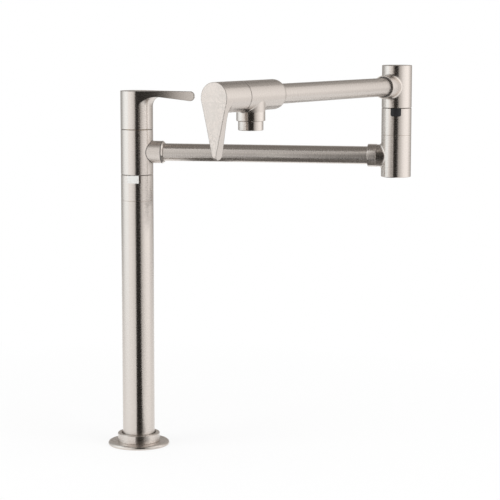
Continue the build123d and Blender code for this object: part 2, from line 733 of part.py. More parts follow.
outlet_body -= nozzle_axis * rod(nozzle_bore / 2, 0, nozzle_drop + over)
aerator_socket = nozzle_drop - aerator_neck_length - aerator_seal_thickness
outlet_body -= nozzle_axis * rod(aerator_neck_radius + fit, aerator_socket, nozzle_drop + over)
add("outlet_body", upper_arm * outlet_body)

# Aerator: housing, seal and the insert with its holes
aerator_top = nozzle_drop - aerator_neck_length
aerator_bottom = nozzle_drop + aerator_height
aerator = ring(aerator_diameter / 2, 0, nozzle_drop, aerator_bottom, seam_bevel, aerator_edge)
aerator += rod(aerator_neck_radius, aerator_top, nozzle_drop)
aerator -= rod(aerator_bore_radius, aerator_top - over, aerator_bottom - aerator_lip)
aerator -= rod(aerator_bore_radius - aerator_lip, aerator_top - over, aerator_bottom + over)
add("aerator_housing", upper_arm * nozzle_axis * aerator)
aerator_seal_inner = aerator_neck_radius - aerator_seal_width
seal_ring = ring(aerator_neck_radius - fit, aerator_seal_inner, aerator_socket, aerator_top)
add("aerator_seal", upper_arm * nozzle_axis * seal_ring)
insert_bottom = aerator_bottom - aerator_lip
insert_top = insert_bottom - aerator_insert_height
insert = rod(aerator_bore_radius - fit, insert_top, insert_bottom)
insert_hole = rod(aerator_hole_diameter / 2, insert_top - over, insert_bottom + over)
insert_holes = [insert_hole]
for circle in range(1, aerator_hole_rings + 1):
    count = 6 * circle
    for place in range(count):
        outwards = Pos(circle * aerator_hole_pitch, 0, 0)
        insert_holes.append(Rot(0, 0, 360 * place / count) * outwards * insert_hole)
insert -= insert_holes
add("aerator_insert", upper_arm * nozzle_axis * insert)

# Outlet valve and its lever, which hangs down at rest
outlet_bore_end = outlet_front - outlet_seat
add("outlet_seat_washer", outlet_valve * seat_washer())
add("outlet_fixed_disc", outlet_valve * fixed_disc())
add("outlet_cartridge", outlet_valve * valve_body(outlet_cartridge_length, outlet_bore_end))
add("outlet_gland_nut", outlet_valve * gland_nut(outlet_cartridge_length, outlet_bore_end))
outlet_stem_top = outlet_face - lever_face_thickness - stem_top_gap - outlet_seat
outlet_grub = grub_height(outlet_hub_length, outlet_hub_cavity_depth)
add("outlet_moving_disc", outlet_valve * moving_disc())
outlet_flat = outlet_face + outlet_grub - outlet_seat
add("outlet_stem", outlet_valve * stem(outlet_stem_top, outlet_flat, outlet_screw_side))
outlet_screw = Pos(0, 0, outlet_grub) * Rot(0, 0, outlet_screw_side) * grub_screw()
add("outlet_grub_screw", outlet_lever_face * outlet_screw)
outlet_lever = lever(outlet_radius, outlet_hub_length, outlet_lever_reach, outlet_lever_neck,
                     outlet_lever_tip, outlet_lever_flare, outlet_lever_hollow, outlet_lever_nose)
outlet_handle = handle(outlet_lever, outlet_radius, outlet_hub_length, outlet_hub_cavity,
                       outlet_hub_cavity_depth, outlet_screw_side)
add("outlet_handle", outlet_lever_face * outlet_handle)

os.makedirs("parts", exist_ok=True)
for name, shape in parts.items():
    export_step(shape, os.path.join("parts", name + ".step"))
print(len(parts), "nodes")
print("lower arm at", round(lower_arm_height, 2), "upper arm at", round(upper_arm_height, 2))
print("post top at", round(post_hub_top, 2))
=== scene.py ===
"""Deck-mounted pot filler: its finishes, its fine pieces, the studio and the camera.

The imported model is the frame. Blender works in metres, with +Z up and the origin on the post's axis,
level with the deck. The front is towards -Y. Sizes of the fine pieces are in millimetres.
"""

import json
import logging
import math
from dataclasses import dataclass, replace
from enum import Enum

import bmesh
import bpy
from mathutils import Matrix, Vector


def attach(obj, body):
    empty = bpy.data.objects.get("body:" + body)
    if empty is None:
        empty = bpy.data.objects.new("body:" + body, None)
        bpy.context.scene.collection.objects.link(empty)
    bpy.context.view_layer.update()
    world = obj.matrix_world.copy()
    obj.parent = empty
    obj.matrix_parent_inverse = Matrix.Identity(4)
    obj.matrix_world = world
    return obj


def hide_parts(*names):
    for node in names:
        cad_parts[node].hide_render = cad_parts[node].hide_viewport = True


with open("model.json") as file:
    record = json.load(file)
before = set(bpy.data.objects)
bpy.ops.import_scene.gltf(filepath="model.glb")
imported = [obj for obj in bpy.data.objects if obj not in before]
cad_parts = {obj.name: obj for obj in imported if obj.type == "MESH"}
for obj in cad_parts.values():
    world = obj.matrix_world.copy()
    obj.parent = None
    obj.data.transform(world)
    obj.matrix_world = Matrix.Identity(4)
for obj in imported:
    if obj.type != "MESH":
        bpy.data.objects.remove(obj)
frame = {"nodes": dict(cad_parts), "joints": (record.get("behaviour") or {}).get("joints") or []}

MM = 0.001
log = logging.getLogger("pot_filler")

Colour = tuple[float, float, float]
Place = tuple[float, float, float]
Pairs = tuple[tuple[float, float], ...]
Faces = list[tuple[int, ...]]

WHITE = (1.0, 1.0, 1.0)
NOISE_MIDDLE = 0.5                  # what a noise texture gives on average
SHARP_FROM = math.radians(38)       # faces that meet at more than this keep a sharp edge
OUTLET_BRANCH_TOP = 0.4142          # height in metres under which the outlet body is its upright nozzle
GAP_SHADE_SLOT = "black_plastic"   # slot of the dark pieces painted as shade in the gaps and recesses at the joints


def joint_point(name: str) -> Vector:
    """The point that a joint of the frame turns about."""
    return Vector(next(joint["pos_m"] for joint in frame["joints"] if joint["name"] == name))


def joint_axis(name: str) -> Vector:
    """The unit axis of a joint of the frame."""
    return Vector(next(joint["axis"] for joint in frame["joints"] if joint["name"] == name)).normalized()


UP = Vector((0.0, 0.0, 1.0))
LOWER_ARM = Vector((1.0, 0.0, 0.0))
UPPER_ARM = joint_axis("outlet_valve_turn")


class Lay(Enum):
    """The axis that a piece was turned and brushed about, so that its fine lines run round it."""

    POST = "post"
    LOWER = "lower arm"
    UPPER = "upper arm"

    @property
    def axis(self) -> Vector:
        """Unit vector of the axis."""
        return {Lay.POST: UP, Lay.LOWER: LOWER_ARM, Lay.UPPER: UPPER_ARM}[self]


class Mixed(Enum):
    """What a Mix node blends: its data type, and the places of its first, second and output socket."""

    VECTORS = ("VECTOR", 4, 5, 1)
    COLOURS = ("RGBA", 6, 7, 2)


def opaque(colour: Colour) -> tuple[float, float, float, float]:
    """A colour with full alpha."""
    return (*colour, 1.0)


class Board:
    """Adds and joins the nodes of one node tree."""

    def __init__(self, tree: bpy.types.NodeTree) -> None:
        """Start on an empty tree."""
        self.tree = tree
        tree.nodes.clear()

    def add(self, kind: str, settings: dict | None = None, **values: object) -> bpy.types.Node:
        """Add one node.

        Args:
            kind: The node's type, without the ShaderNode in front.
            settings: Attributes of the node, such as its operation.
            values: Values or output sockets for its inputs, by name with _ for a space, or by place as i0, i1.

        Returns:
            The new node.
        """
        prefix = "" if kind.startswith("NodeGroup") else "ShaderNode"
        node = self.tree.nodes.new(prefix + kind)
        for name, value in (settings or {}).items():
            setattr(node, name, value)
        for name, value in values.items():
            key = int(name[1:]) if name[0] == "i" and name[1:].isdigit() else name.replace("_", " ")
            self.feed(node.inputs[key], value)
        return node

    def feed(self, socket: bpy.types.NodeSocket, value: object) -> None:
        """Join an output to a socket, or set the socket's own value.

        Args:
            socket: The input socket.
            value: The output or the value.
        """
        if isinstance(value, bpy.types.NodeSocket):
            self.tree.links.new(value, socket)
        else:
            socket.default_value = value

    def place(self) -> bpy.types.NodeSocket:
        """The point that is shaded, where it is at rest."""
        return self.add("TexCoord").outputs["Object"]

    def maths(self, operation: str, *terms: object) -> bpy.types.NodeSocket:
        """One Math node on numbers or outputs, as an output."""
        places = {"i%d" % place: term for place, term in enumerate(terms)}
        return self.add("Math", {"operation": operation}, **places).outputs[0]

    def vector_maths(self, operation: str, *terms: object) -> bpy.types.Node:
        """One Vector Math node on vectors or outputs."""
        places = {"i%d" % place: term for place, term in enumerate(terms)}
        return self.add("VectorMath", {"operation": operation}, **places)

    def scaled(self, vector: object, scale: object) -> bpy.types.NodeSocket:
        """A vector times a number, as an output."""
        return self.add("VectorMath", {"operation": "SCALE"}, i0=vector, Scale=scale).outputs["Vector"]

    def mix(self, kind: Mixed, share: object, first: object, second: object) -> bpy.types.NodeSocket:
        """Blend two vectors or two colours.

        Args:
            kind: What is blended.
            share: The second one's share.
            first: The first, as a value or an output.
            second: The second, as a value or an output.

        Returns:
            The blend, as an output.
        """
        data_type, before, after, blend = kind.value
        node = self.add("Mix", {"data_type": data_type}, i0=share)
        self.feed(node.inputs[before], first)
        self.feed(node.inputs[after], second)
        return node.outputs[blend]


class Group(Board):
    """A shader node group with named inputs and outputs, while it is built."""

    def __init__(self, name: str, inputs: dict[str, tuple[str, object]], outputs: dict[str, str]) -> None:
        """Start the group with its sockets.

        Args:
            name: Name of the group.
            inputs: Socket type and default of each input.
            outputs: Socket type of each output.
        """
        super().__init__(bpy.data.node_groups.new(name, "ShaderNodeTree"))
        for title, (kind, default) in inputs.items():
            self.tree.interface.new_socket(title, in_out="INPUT", socket_type=kind).default_value = default
        for title, kind in outputs.items():
            self.tree.interface.new_socket(title, in_out="OUTPUT", socket_type=kind)
        self.given = self.add("NodeGroupInput").outputs
        self.result = self.add("NodeGroupOutput").inputs


class Effects:
    """The shader effects that several finishes share, each built once as a node group."""

    def __init__(self) -> None:
        """Build every group."""
        self.grain = self._grain()
        self.handling = self._handling()
        self.edges = self._edges()

    @staticmethod
    def _grain() -> bpy.types.NodeTree:
        """Fine lines that run round an axis, finer along it and slowly changing round it.

        Returns:
            The group.
        """
        group = Group(
            "Turned grain",
            {"Axis": ("NodeSocketVector", (0.0, 0.0, 1.0)), "Lines per mm": ("NodeSocketFloat", 4.0),
             "Drift per mm": ("NodeSocketFloat", 0.05)},
            {"Lines": "NodeSocketFloat"})
        place = group.place()
        axis = group.given["Axis"]
        along = group.vector_maths("DOT_PRODUCT", place, axis).outputs["Value"]
        fine = group.maths("MULTIPLY", along, group.maths("MULTIPLY", group.given["Lines per mm"], 1 / MM))
        drift = group.scaled(place, group.maths("MULTIPLY", group.given["Drift per mm"], 1 / MM))
        spot = group.vector_maths("ADD", drift, group.scaled(axis, fine)).outputs["Vector"]
        noise = group.add("TexNoise", Vector=spot, Scale=1.0, Detail=3.0, Roughness=0.6)
        group.feed(group.result["Lines"], noise.outputs["Fac"])
        return group.tree

    @staticmethod
    def _handling() -> bpy.types.NodeTree:
        """Faint broad smudges, as a wiped and handled surface has.

        Returns:
            The group.
        """
        group = Group("Handling", {"Spread mm": ("NodeSocketFloat", 25.0)}, {"Smudge": "NodeSocketFloat"})
        place = group.place()
        scale = group.maths("DIVIDE", 1 / MM, group.given["Spread mm"])
        broad = group.add("TexNoise", Vector=place, Scale=scale, Detail=4.0, Roughness=0.55, Distortion=0.4)
        group.feed(group.result["Smudge"], broad.outputs["Fac"])
        return group.tree

    @staticmethod
    def _edges() -> bpy.types.NodeTree:
        """A fine line of painted shade along sharp edges, with the normal rounded there.

        Returns:
            The group.
        """
        group = Group("Soft edges, painted edge shade", {"Width mm": ("NodeSocketFloat", 1.0)},
                      {"Line": "NodeSocketFloat", "Normal": "NodeSocketVector"})
        radius = group.maths("MULTIPLY", group.given["Width mm"], MM)
        rounded = group.add("Bevel", {"samples": 4}, Radius=radius).outputs["Normal"]
        flat = group.add("NewGeometry").outputs["Normal"]
        match = group.vector_maths("DOT_PRODUCT", rounded, flat).outputs["Value"]
        # Painted shade: the line is dark where the rounded normal turns from the flat one, as a rounded edge
        # reflecting dark would look.
        line = group.add("MapRange", Value=match, From_Min=0.995, From_Max=0.9)
        group.feed(group.result["Line"], line.outputs["Result"])
        group.feed(group.result["Normal"], rounded)
        return group.tree


def blank_material(name: str) -> tuple[bpy.types.Material, Board]:
    """A material whose tree is still empty.

    Args:
        name: Name of the material.

    Returns:
        The material and a board for its tree.
    """
    material = bpy.data.materials.new(name)
    material.use_nodes = True
    return material, Board(material.node_tree)


def principled(name: str) -> tuple[bpy.types.Material, Board, bpy.types.Node]:
    """A material with a Principled shader joined to its output.

    Args:
        name: Name of the material.

    Returns:
        The material, a board for its tree and the shader.
    """
    material, board = blank_material(name)
    shader = board.add("BsdfPrincipled")
    board.add("OutputMaterial", Surface=shader.outputs["BSDF"])
    return material, board, shader


def metal(name: str, colour: Colour) -> tuple[bpy.types.Material, Board, bpy.types.Node]:
    """A material whose Principled shader is metal of one colour.

    Args:
        name: Name of the material.
        colour: Base colour.

    Returns:
        The material, a board for its tree and the shader.
    """
    material, board, shader = principled(name)
    shader.inputs["Base Color"].default_value = opaque(colour)
    shader.inputs["Metallic"].default_value = 1.0
    return material, board, shader


@dataclass(frozen=True)
class Nickel:
    """Satin nickel over turned metal: warm grey, with fine lines round each piece.

    Where edge_mm isn't 0, the normal is rounded along the sharp edges and a fine dark line of painted shade
    follows them.
    """

    colour: Colour = (0.70, 0.643, 0.597)
    roughness: float = 0.27
    anisotropy: float = 0.95
    line_depth: float = 0.05
    smudge_depth: float = 0.03
    lines_per_mm: float = 4.0
    bump: float = 0.05
    bump_mm: float = 0.02
    edge_mm: float = 0.0
    # Colour of the painted shade along the sharp edges.
    edge_shade_colour: Colour = (0.2, 0.18, 0.165)
    upright_blend_mm: float = 1.5

    def material(self, name: str, lay: Lay, effects: Effects,
                 upright_below: float | None = None) -> bpy.types.Material:
        """Make the material for pieces brushed about one axis.

        Args:
            name: Name of the material.
            lay: Axis of the fine lines.
            effects: The shared groups.
            upright_below: Height under which the lines run round an upright branch instead.

        Returns:
            The material.
        """
        material, board, shader = metal(name, self.colour)
        shader.inputs["Anisotropic"].default_value = self.anisotropy
        axis = tuple(lay.axis)
        if upright_below is not None:
            height = board.add("SeparateXYZ", Vector=board.place()).outputs["Z"]
            branch = board.add("MapRange", Value=height, From_Min=upright_below,
                               From_Max=upright_below - self.upright_blend_mm * MM)
            axis = board.mix(Mixed.VECTORS, branch.outputs["Result"], axis, tuple(UP))
        to_world = {"vector_type": "VECTOR", "convert_from": "OBJECT", "convert_to": "WORLD"}
        turned = board.add("VectorTransform", to_world, Vector=axis)
        board.feed(shader.inputs["Tangent"], turned.outputs["Vector"])
        grain = board.add("Group", {"node_tree": effects.grain}, Axis=axis, Lines_per_mm=self.lines_per_mm)
        smudge = board.add("Group", {"node_tree": effects.handling})
        lines = board.maths("MULTIPLY", board.maths("SUBTRACT", grain.outputs["Lines"], NOISE_MIDDLE),
                            self.line_depth)
        marks = board.maths("MULTIPLY", board.maths("SUBTRACT", smudge.outputs["Smudge"], NOISE_MIDDLE),
                            self.smudge_depth)
        board.feed(shader.inputs["Roughness"],
                   board.maths("ADD", board.maths("ADD", lines, marks), self.roughness))
        bump = board.add("Bump", Strength=self.bump, Distance=self.bump_mm * MM, Height=grain.outputs["Lines"])
        # Painted shade: the edge line darkens the base colour along the sharp edges.
        if self.edge_mm:
            edge = board.add("Group", {"node_tree": effects.edges}, Width_mm=self.edge_mm)
            board.feed(bump.inputs["Normal"], edge.outputs["Normal"])
            board.feed(shader.inputs["Base Color"],
                       board.mix(Mixed.COLOURS, edge.outputs["Line"], opaque(self.colour),
                                 opaque(self.edge_shade_colour)))
        board.feed(shader.inputs["Normal"], bump.outputs["Normal"])
        return material


@dataclass(frozen=True)
class BareMetal:
    """Machined brass or steel with no plating, with its tool lines and a mottled colour."""

    colour: Colour
    shade: Colour
    roughness: float = 0.3
    line_depth: float = 0.12
    lines_per_mm: float = 3.0
    mottle_mm: float = 12.0
    bump: float = 0.08
    bump_mm: float = 0.03

    def material(self, name: str, lay: Lay, effects: Effects) -> bpy.types.Material:
        """Make the material for pieces turned about one axis.

        Args:
            name: Name of the material.
            lay: Axis of the tool lines.
            effects: The shared groups.

        Returns:
            The material.
        """
        material, board, shader = metal(name, self.colour)
        grain = board.add("Group", {"node_tree": effects.grain}, Axis=tuple(lay.axis),
                          Lines_per_mm=self.lines_per_mm)
        smudge = board.add("Group", {"node_tree": effects.handling}, Spread_mm=self.mottle_mm)
        board.feed(shader.inputs["Base Color"],
                   board.mix(Mixed.COLOURS, smudge.outputs["Smudge"], opaque(self.shade), opaque(self.colour)))
        board.feed(shader.inputs["Roughness"],
                   board.maths("MULTIPLY_ADD", grain.outputs["Lines"], self.line_depth,
                               self.roughness - self.line_depth / 2))
        bump = board.add("Bump", Strength=self.bump, Distance=self.bump_mm * MM, Height=grain.outputs["Lines"])
        board.feed(shader.inputs["Normal"], bump.outputs["Normal"])
        return material


@dataclass(frozen=True)
class Moulded:
    """Moulded plastic, rubber or ceramic, with a fine skin and faint broad unevenness."""

    colour: Colour
    roughness: float
    skin: float = 0.1
    spread_mm: float = 8.0
    pores_per_mm: float = 1.5
    bump: float = 0.1
    bump_mm: float = 0.02

    def material(self, name: str, effects: Effects) -> bpy.types.Material:
        """Make the material.

        Args:
            name: Name of the material.
            effects: The shared groups.

        Returns:
            The material.
        """
        material, board, shader = principled(name)
        shader.inputs["Base Color"].default_value = opaque(self.colour)
        smudge = board.add("Group", {"node_tree": effects.handling}, Spread_mm=self.spread_mm)
        board.feed(shader.inputs["Roughness"],
                   board.maths("MULTIPLY_ADD", smudge.outputs["Smudge"], self.skin,
                               self.roughness - self.skin / 2))
        fine = board.add("TexNoise", Vector=board.place(), Scale=self.pores_per_mm / MM, Detail=2.0)
        bump = board.add("Bump", Strength=self.bump, Distance=self.bump_mm * MM, Height=fine.outputs["Fac"])
        board.feed(shader.inputs["Normal"], bump.outputs["Normal"])
        return material


class Finishes:
    """Every material of the object, made once."""

    def __init__(self) -> None:
        """Make the materials."""
        effects = Effects()
        nickel = Nickel()
        brass = BareMetal(colour=(0.72, 0.52, 0.24), shade=(0.60, 0.41, 0.17))
        steel = BareMetal(colour=(0.56, 0.55, 0.54), shade=(0.47, 0.46, 0.45), roughness=0.28)
        self.nickel = {lay: nickel.material("Satin nickel, " + lay.value, lay, effects) for lay in Lay}
        # The levers' nickel has a dark line of painted shade along its sharp edges.
        self.lever = {lay: replace(nickel, edge_mm=1.1).material("Lever nickel, " + lay.value, lay, effects)
                      for lay in (Lay.POST, Lay.UPPER)}
        self.outlet = nickel.material("Satin nickel, outlet body", Lay.UPPER, effects, OUTLET_BRANCH_TOP)
        self.brass = {lay: brass.material("Bare brass, " + lay.value, lay, effects)
                      for lay in (Lay.POST, Lay.UPPER)}
        self.steel = steel.material("Plain steel", Lay.POST, effects)
        self.rubber = Moulded((0.030, 0.030, 0.031), 0.65).material("Black rubber", effects)
        self.black = Moulded((0.018, 0.018, 0.020), 0.38).material("Black plastic", effects)
        self.grey = Moulded((0.45, 0.46, 0.47), 0.42).material("Grey plastic", effects)
        self.pale = Moulded((0.80, 0.79, 0.76), 0.45).material("Pale plastic", effects)
        # Painted shade: dark finish of the rings and lines put where the gaps and recesses at the joints are in
        # shade.
        self.seam = Moulded((0.10, 0.092, 0.085), 0.5, skin=0.2, spread_mm=3.0).material("Painted gap shade", effects)
        self.ceramic = Moulded((0.86, 0.85, 0.82), 0.16, skin=0.04).material("Lapped ceramic", effects)


def dress(material: bpy.types.Material, *names: str) -> None:
    """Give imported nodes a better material, in their own slots.

    Args:
        material: The better material.
        names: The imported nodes.
    """
    for name in names:
        for place in frame["nodes"][name].material_slots:
            place.material = material
        log.info("dressed %s in %s", name, material.name)


def tube_faces(rings: int, corners: int, closed: bool = True) -> Faces:
    """Faces of four corners between one ring of points and the next.

    Args:
        rings: How many rings there are.
        corners: How many points each ring has.
        closed: Whether the last ring is joined to the first.

    Returns:
        The faces, as places in the list of points.
    """
    faces = []
    for ring in range(rings if closed else rings - 1):
        here, there = ring * corners, (ring + 1) % rings * corners
        for corner in range(corners):
            after = (corner + 1) % corners
            faces.append((here + corner, here + after, there + after, there + corner))
    return faces


def add_mesh(name: str, points: list[Vector], faces: Faces, material: bpy.types.Material, body: str,
             slot: str, *stands_for: str) -> bpy.types.Object:
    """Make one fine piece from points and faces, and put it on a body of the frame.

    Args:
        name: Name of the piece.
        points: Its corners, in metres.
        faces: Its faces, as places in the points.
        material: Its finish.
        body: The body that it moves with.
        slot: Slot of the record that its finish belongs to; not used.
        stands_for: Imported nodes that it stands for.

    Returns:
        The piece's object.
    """
    mesh = bpy.data.meshes.new(name)
    mesh.from_pydata(points, [], faces)
    shell = bmesh.new()
    shell.from_mesh(mesh)
    bmesh.ops.recalc_face_normals(shell, faces=shell.faces)
    shell.to_mesh(mesh)
    shell.free()
    mesh.shade_smooth()
    mesh.set_sharp_from_angle(angle=SHARP_FROM)
    mesh.materials.append(material)
    piece = bpy.data.objects.new(name, mesh)
    bpy.context.scene.collection.objects.link(piece)
    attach(piece, body)
    if stands_for:
        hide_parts(*stands_for)
    log.info("made %s", name)
    return piece


@dataclass
class TurnedRing:
    """A ring turned about an axis of the object.

    Its outline is closed. Each point of it gives the radius and the way along the axis from the centre.
    """

    name: str
    body: str
    centre: Vector
    axis: Vector
    outline: Pairs
    slot: str = "brushed_nickel"
    segments: int = 96

    def build(self, material: bpy.types.Material, *stands_for: str) -> bpy.types.Object:
        """Make the ring and put it on its body.

        Args:
            material: Its finish.
            stands_for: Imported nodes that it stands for.

        Returns:
            The ring's object.
        """
        side = self.axis.orthogonal().normalized()
        other = self.axis.cross(side)
        points = []
        for step in range(self.segments):
            turn = 2 * math.pi * step / self.segments
            outwards = side * math.cos(turn) + other * math.sin(turn)
            points += [self.centre + (outwards * radius + self.axis * along) * MM
                       for radius, along in self.outline]
        faces = tube_faces(self.segments, len(self.outline))
        return add_mesh(self.name, points, faces, material, self.body, self.slot, *stands_for)


@dataclass
class TubeCollar:
    """The collar where an arm's tube meets the elbow, with a dark ring painted as shade in the recess between
    its rim and the tube.
    """

    arm: str
    centre: Vector
    away: Vector
    outline: Pairs = ((10.3, 22.02), (12.7, 22.02), (13.0, 22.32), (13.0, 31.6), (12.93, 31.9), (12.75, 32.1),
                      (12.4, 32.2), (12.0, 32.15), (11.75, 31.9), (11.7, 31.0), (10.3, 31.0))
    # Outline of a dark ring painted as shade in the recess.
    recess: Pairs = ((10.27, 30.5), (11.75, 30.5), (11.75, 31.5), (10.27, 31.5))

    def build(self, finish: bpy.types.Material, dark: bpy.types.Material) -> None:
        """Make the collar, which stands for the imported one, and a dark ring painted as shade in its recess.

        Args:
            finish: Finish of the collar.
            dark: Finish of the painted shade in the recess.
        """
        collar = TurnedRing(self.arm + "_collar_turned", self.arm, self.centre, self.away, self.outline)
        collar.build(finish, self.arm + "_collar")
        # Painted shade: a dark ring in the recess between the collar's rim and the tube.
        recess = TurnedRing(self.arm + "_collar_recess_shade", self.arm, self.centre, self.away, self.recess,
                            GAP_SHADE_SLOT)
        recess.build(dark)


@dataclass
class ScrewThread:
    """The ridge of a screw thread that runs round an upright rod.

    The ridge's foot is sunk a little into the rod, and the foot and crest are shares of the pitch to each side.
    """

    name: str
    radius: float
    bottom: float
    top: float
    pitch: float = 1.81
    height: float = 0.45
    sink: float = 0.1
    foot_share: float = 0.42
    crest_share: float = 0.06
    segments: int = 40

    def build(self, material: bpy.types.Material) -> bpy.types.Object:
        """Make the ridge and put it on the post's body.

        Args:
            material: Its finish.

        Returns:
            The ridge's object.
        """
        inner, outer = self.radius - self.sink, self.radius + self.height
        foot, crest = self.pitch * self.foot_share, self.pitch * self.crest_share
        outline = ((inner, -foot), (outer, -crest), (outer, crest), (inner, foot))
        steps = round((self.top - self.bottom - 2 * foot) / self.pitch * self.segments)
        points = []
        for step in range(steps + 1):
            turn = 2 * math.pi * step / self.segments
            middle = self.bottom + foot + self.pitch * step / self.segments
            points += [Vector((radius * math.cos(turn), radius * math.sin(turn), middle + rise)) * MM
                       for radius, rise in outline]
        corners = len(outline)
        faces = tube_faces(steps + 1, corners, closed=False)
        faces += [tuple(range(corners)), tuple(range(steps * corners, (steps + 1) * corners))]
        return add_mesh(self.name, points, faces, material, "post", "raw_brass")


@dataclass
class DeckEnd:
    """Flange, collar, and what holds the post to the deck from below."""

    finishes: Finishes
    shank_radius: float = 16.5
    shank_heights: tuple[float, float] = (-59.5, -0.5)
    inlet_radius: float = 10.45
    inlet_heights: tuple[float, float] = (-74.5, -60.5)

    def build(self) -> None:
        """Dress every piece and add the two threads."""
        finishes = self.finishes
        brass = finishes.brass[Lay.POST]
        dress(finishes.nickel[Lay.POST], "deck_flange", "base_collar")
        dress(finishes.rubber, "flange_seal", "shank_rubber_washer")
        dress(finishes.steel, "shank_steel_washer", "riser_tube")
        dress(brass, "shank_nut", "post_foot", "threaded_shank")
        ScrewThread("shank_thread", self.shank_radius, *self.shank_heights).build(brass)
        ScrewThread("inlet_thread", self.inlet_radius, *self.inlet_heights).build(brass)


@dataclass
class Post:
    """Post tube with its stop sleeve, stop key and valve core."""

    finishes: Finishes

    def build(self) -> None:
        """Dress every piece."""
        finishes = self.finishes
        dress(finishes.nickel[Lay.POST], "post_tube", "stop_sleeve")
        dress(finishes.pale, "post_stop_key")
        dress(finishes.brass[Lay.POST], "valve_core", "post_retainer_nut", "post_cartridge", "post_gland_nut")
        dress(finishes.rubber, "core_seals", "post_seat_washer")
        dress(finishes.black, "post_glide_ring")
        dress(finishes.ceramic, "post_fixed_disc")


@dataclass
class LowerArm:
    """Swivel housing, tube and the lower half of the elbow, with fine dark lines at the boss painted as shade
    in its gaps.
    """

    finishes: Finishes
    boss_radius: float = 13.0
    housing_radius: float = 19.0
    # Outline of a dark ring painted as shade in the gap where the tube meets the boss.
    seam: Pairs = ((12.2, 30.4), (13.1, 30.4), (13.1, 31.5), (12.2, 31.5))
    line_radius: float = 0.4
    line_steps: int = 96
    line_sides: int = 8

    def build(self) -> None:
        """Dress every piece, and add the collar and the dark lines painted as shade in the joints."""
        finishes = self.finishes
        dress(finishes.nickel[Lay.POST], "swivel_housing", "elbow_lower_housing", "elbow_ring",
              "elbow_bottom_cap")
        dress(finishes.nickel[Lay.LOWER], "lower_arm_end_ring", "lower_arm_tube", "lower_arm_collar")
        dress(finishes.black, "elbow_stop_key", "elbow_glide_ring")
        swivel, elbow = joint_point("post_swivel"), joint_point("elbow_swivel")
        collar = TubeCollar("lower_arm", Vector((elbow.x, elbow.y, swivel.z)), -LOWER_ARM)
        collar.build(finishes.nickel[Lay.LOWER], finishes.seam)
        # Painted shade: a dark ring where the tube meets the boss.
        seam = TurnedRing("lower_arm_boss_gap_shade", "lower_arm", swivel, LOWER_ARM, self.seam, GAP_SHADE_SLOT)
        seam.build(finishes.seam)
        self._saddle(swivel)

    def _saddle(self, centre: Vector) -> None:
        """Add a fine dark line, painted as the shade in the gap where the arm's boss meets the swivel housing.

        Args:
            centre: Where the arm's axis crosses the housing's.
        """
        points = []
        for step in range(self.line_steps):
            turn = 2 * math.pi * step / self.line_steps
            across, height = self.boss_radius * math.cos(turn), self.boss_radius * math.sin(turn)
            ahead = math.sqrt(self.housing_radius ** 2 - across ** 2)
            middle = Vector((ahead, across, height))
            outwards = Vector((0.0, math.cos(turn), math.sin(turn)))
            away = Vector((ahead, across, 0.0)).normalized()
            for side in range(self.line_sides):
                lean = 2 * math.pi * side / self.line_sides
                offset = (outwards * math.cos(lean) + away * math.sin(lean)) * self.line_radius
                points.append(centre + (middle + offset) * MM)
        faces = tube_faces(self.line_steps, self.line_sides)
        add_mesh("lower_arm_saddle_gap_shade", points, faces, self.finishes.seam, "lower_arm", GAP_SHADE_SLOT)


@dataclass
class UpperArm:
    """Upper half of the elbow, tube and outlet."""

    finishes: Finishes

    def build(self) -> None:
        """Dress every piece and add the collar."""
        finishes = self.finishes
        dress(finishes.nickel[Lay.POST], "elbow_upper_housing", "aerator_housing")
        dress(finishes.nickel[Lay.UPPER], "upper_arm_collar", "upper_arm_tube")
        dress(finishes.outlet, "outlet_body")
        dress(finishes.brass[Lay.POST], "elbow_spigot")
        dress(finishes.brass[Lay.UPPER], "outlet_cartridge", "outlet_gland_nut")
        dress(finishes.rubber, "spigot_seals", "aerator_seal", "outlet_seat_washer")
        dress(finishes.steel, "spigot_circlip")
        dress(finishes.ceramic, "outlet_fixed_disc")
        dress(finishes.grey, "aerator_insert")
        # The collar brings a dark ring painted as shade in its recess.
        collar = TubeCollar("upper_arm", joint_point("elbow_swivel"), UPPER_ARM)
        collar.build(finishes.nickel[Lay.UPPER], finishes.seam)


@dataclass
class Lever:
    """One lever: hub and blade, with its stem, moving disc and grub screw."""

    finishes: Finishes
    valve: str
    lay: Lay

    def build(self) -> None:
        """Dress every piece."""
        finishes = self.finishes
        dress(finishes.lever[self.lay], self.valve + "_handle")
        dress(finishes.brass[self.lay], self.valve + "_stem")
        dress(finishes.ceramic, self.valve + "_moving_disc")
        dress(finishes.steel, self.valve + "_grub_screw")


class Along(Enum):
    """The world axis that a sheet's light changes along."""

    X = "X"
    Y = "Y"


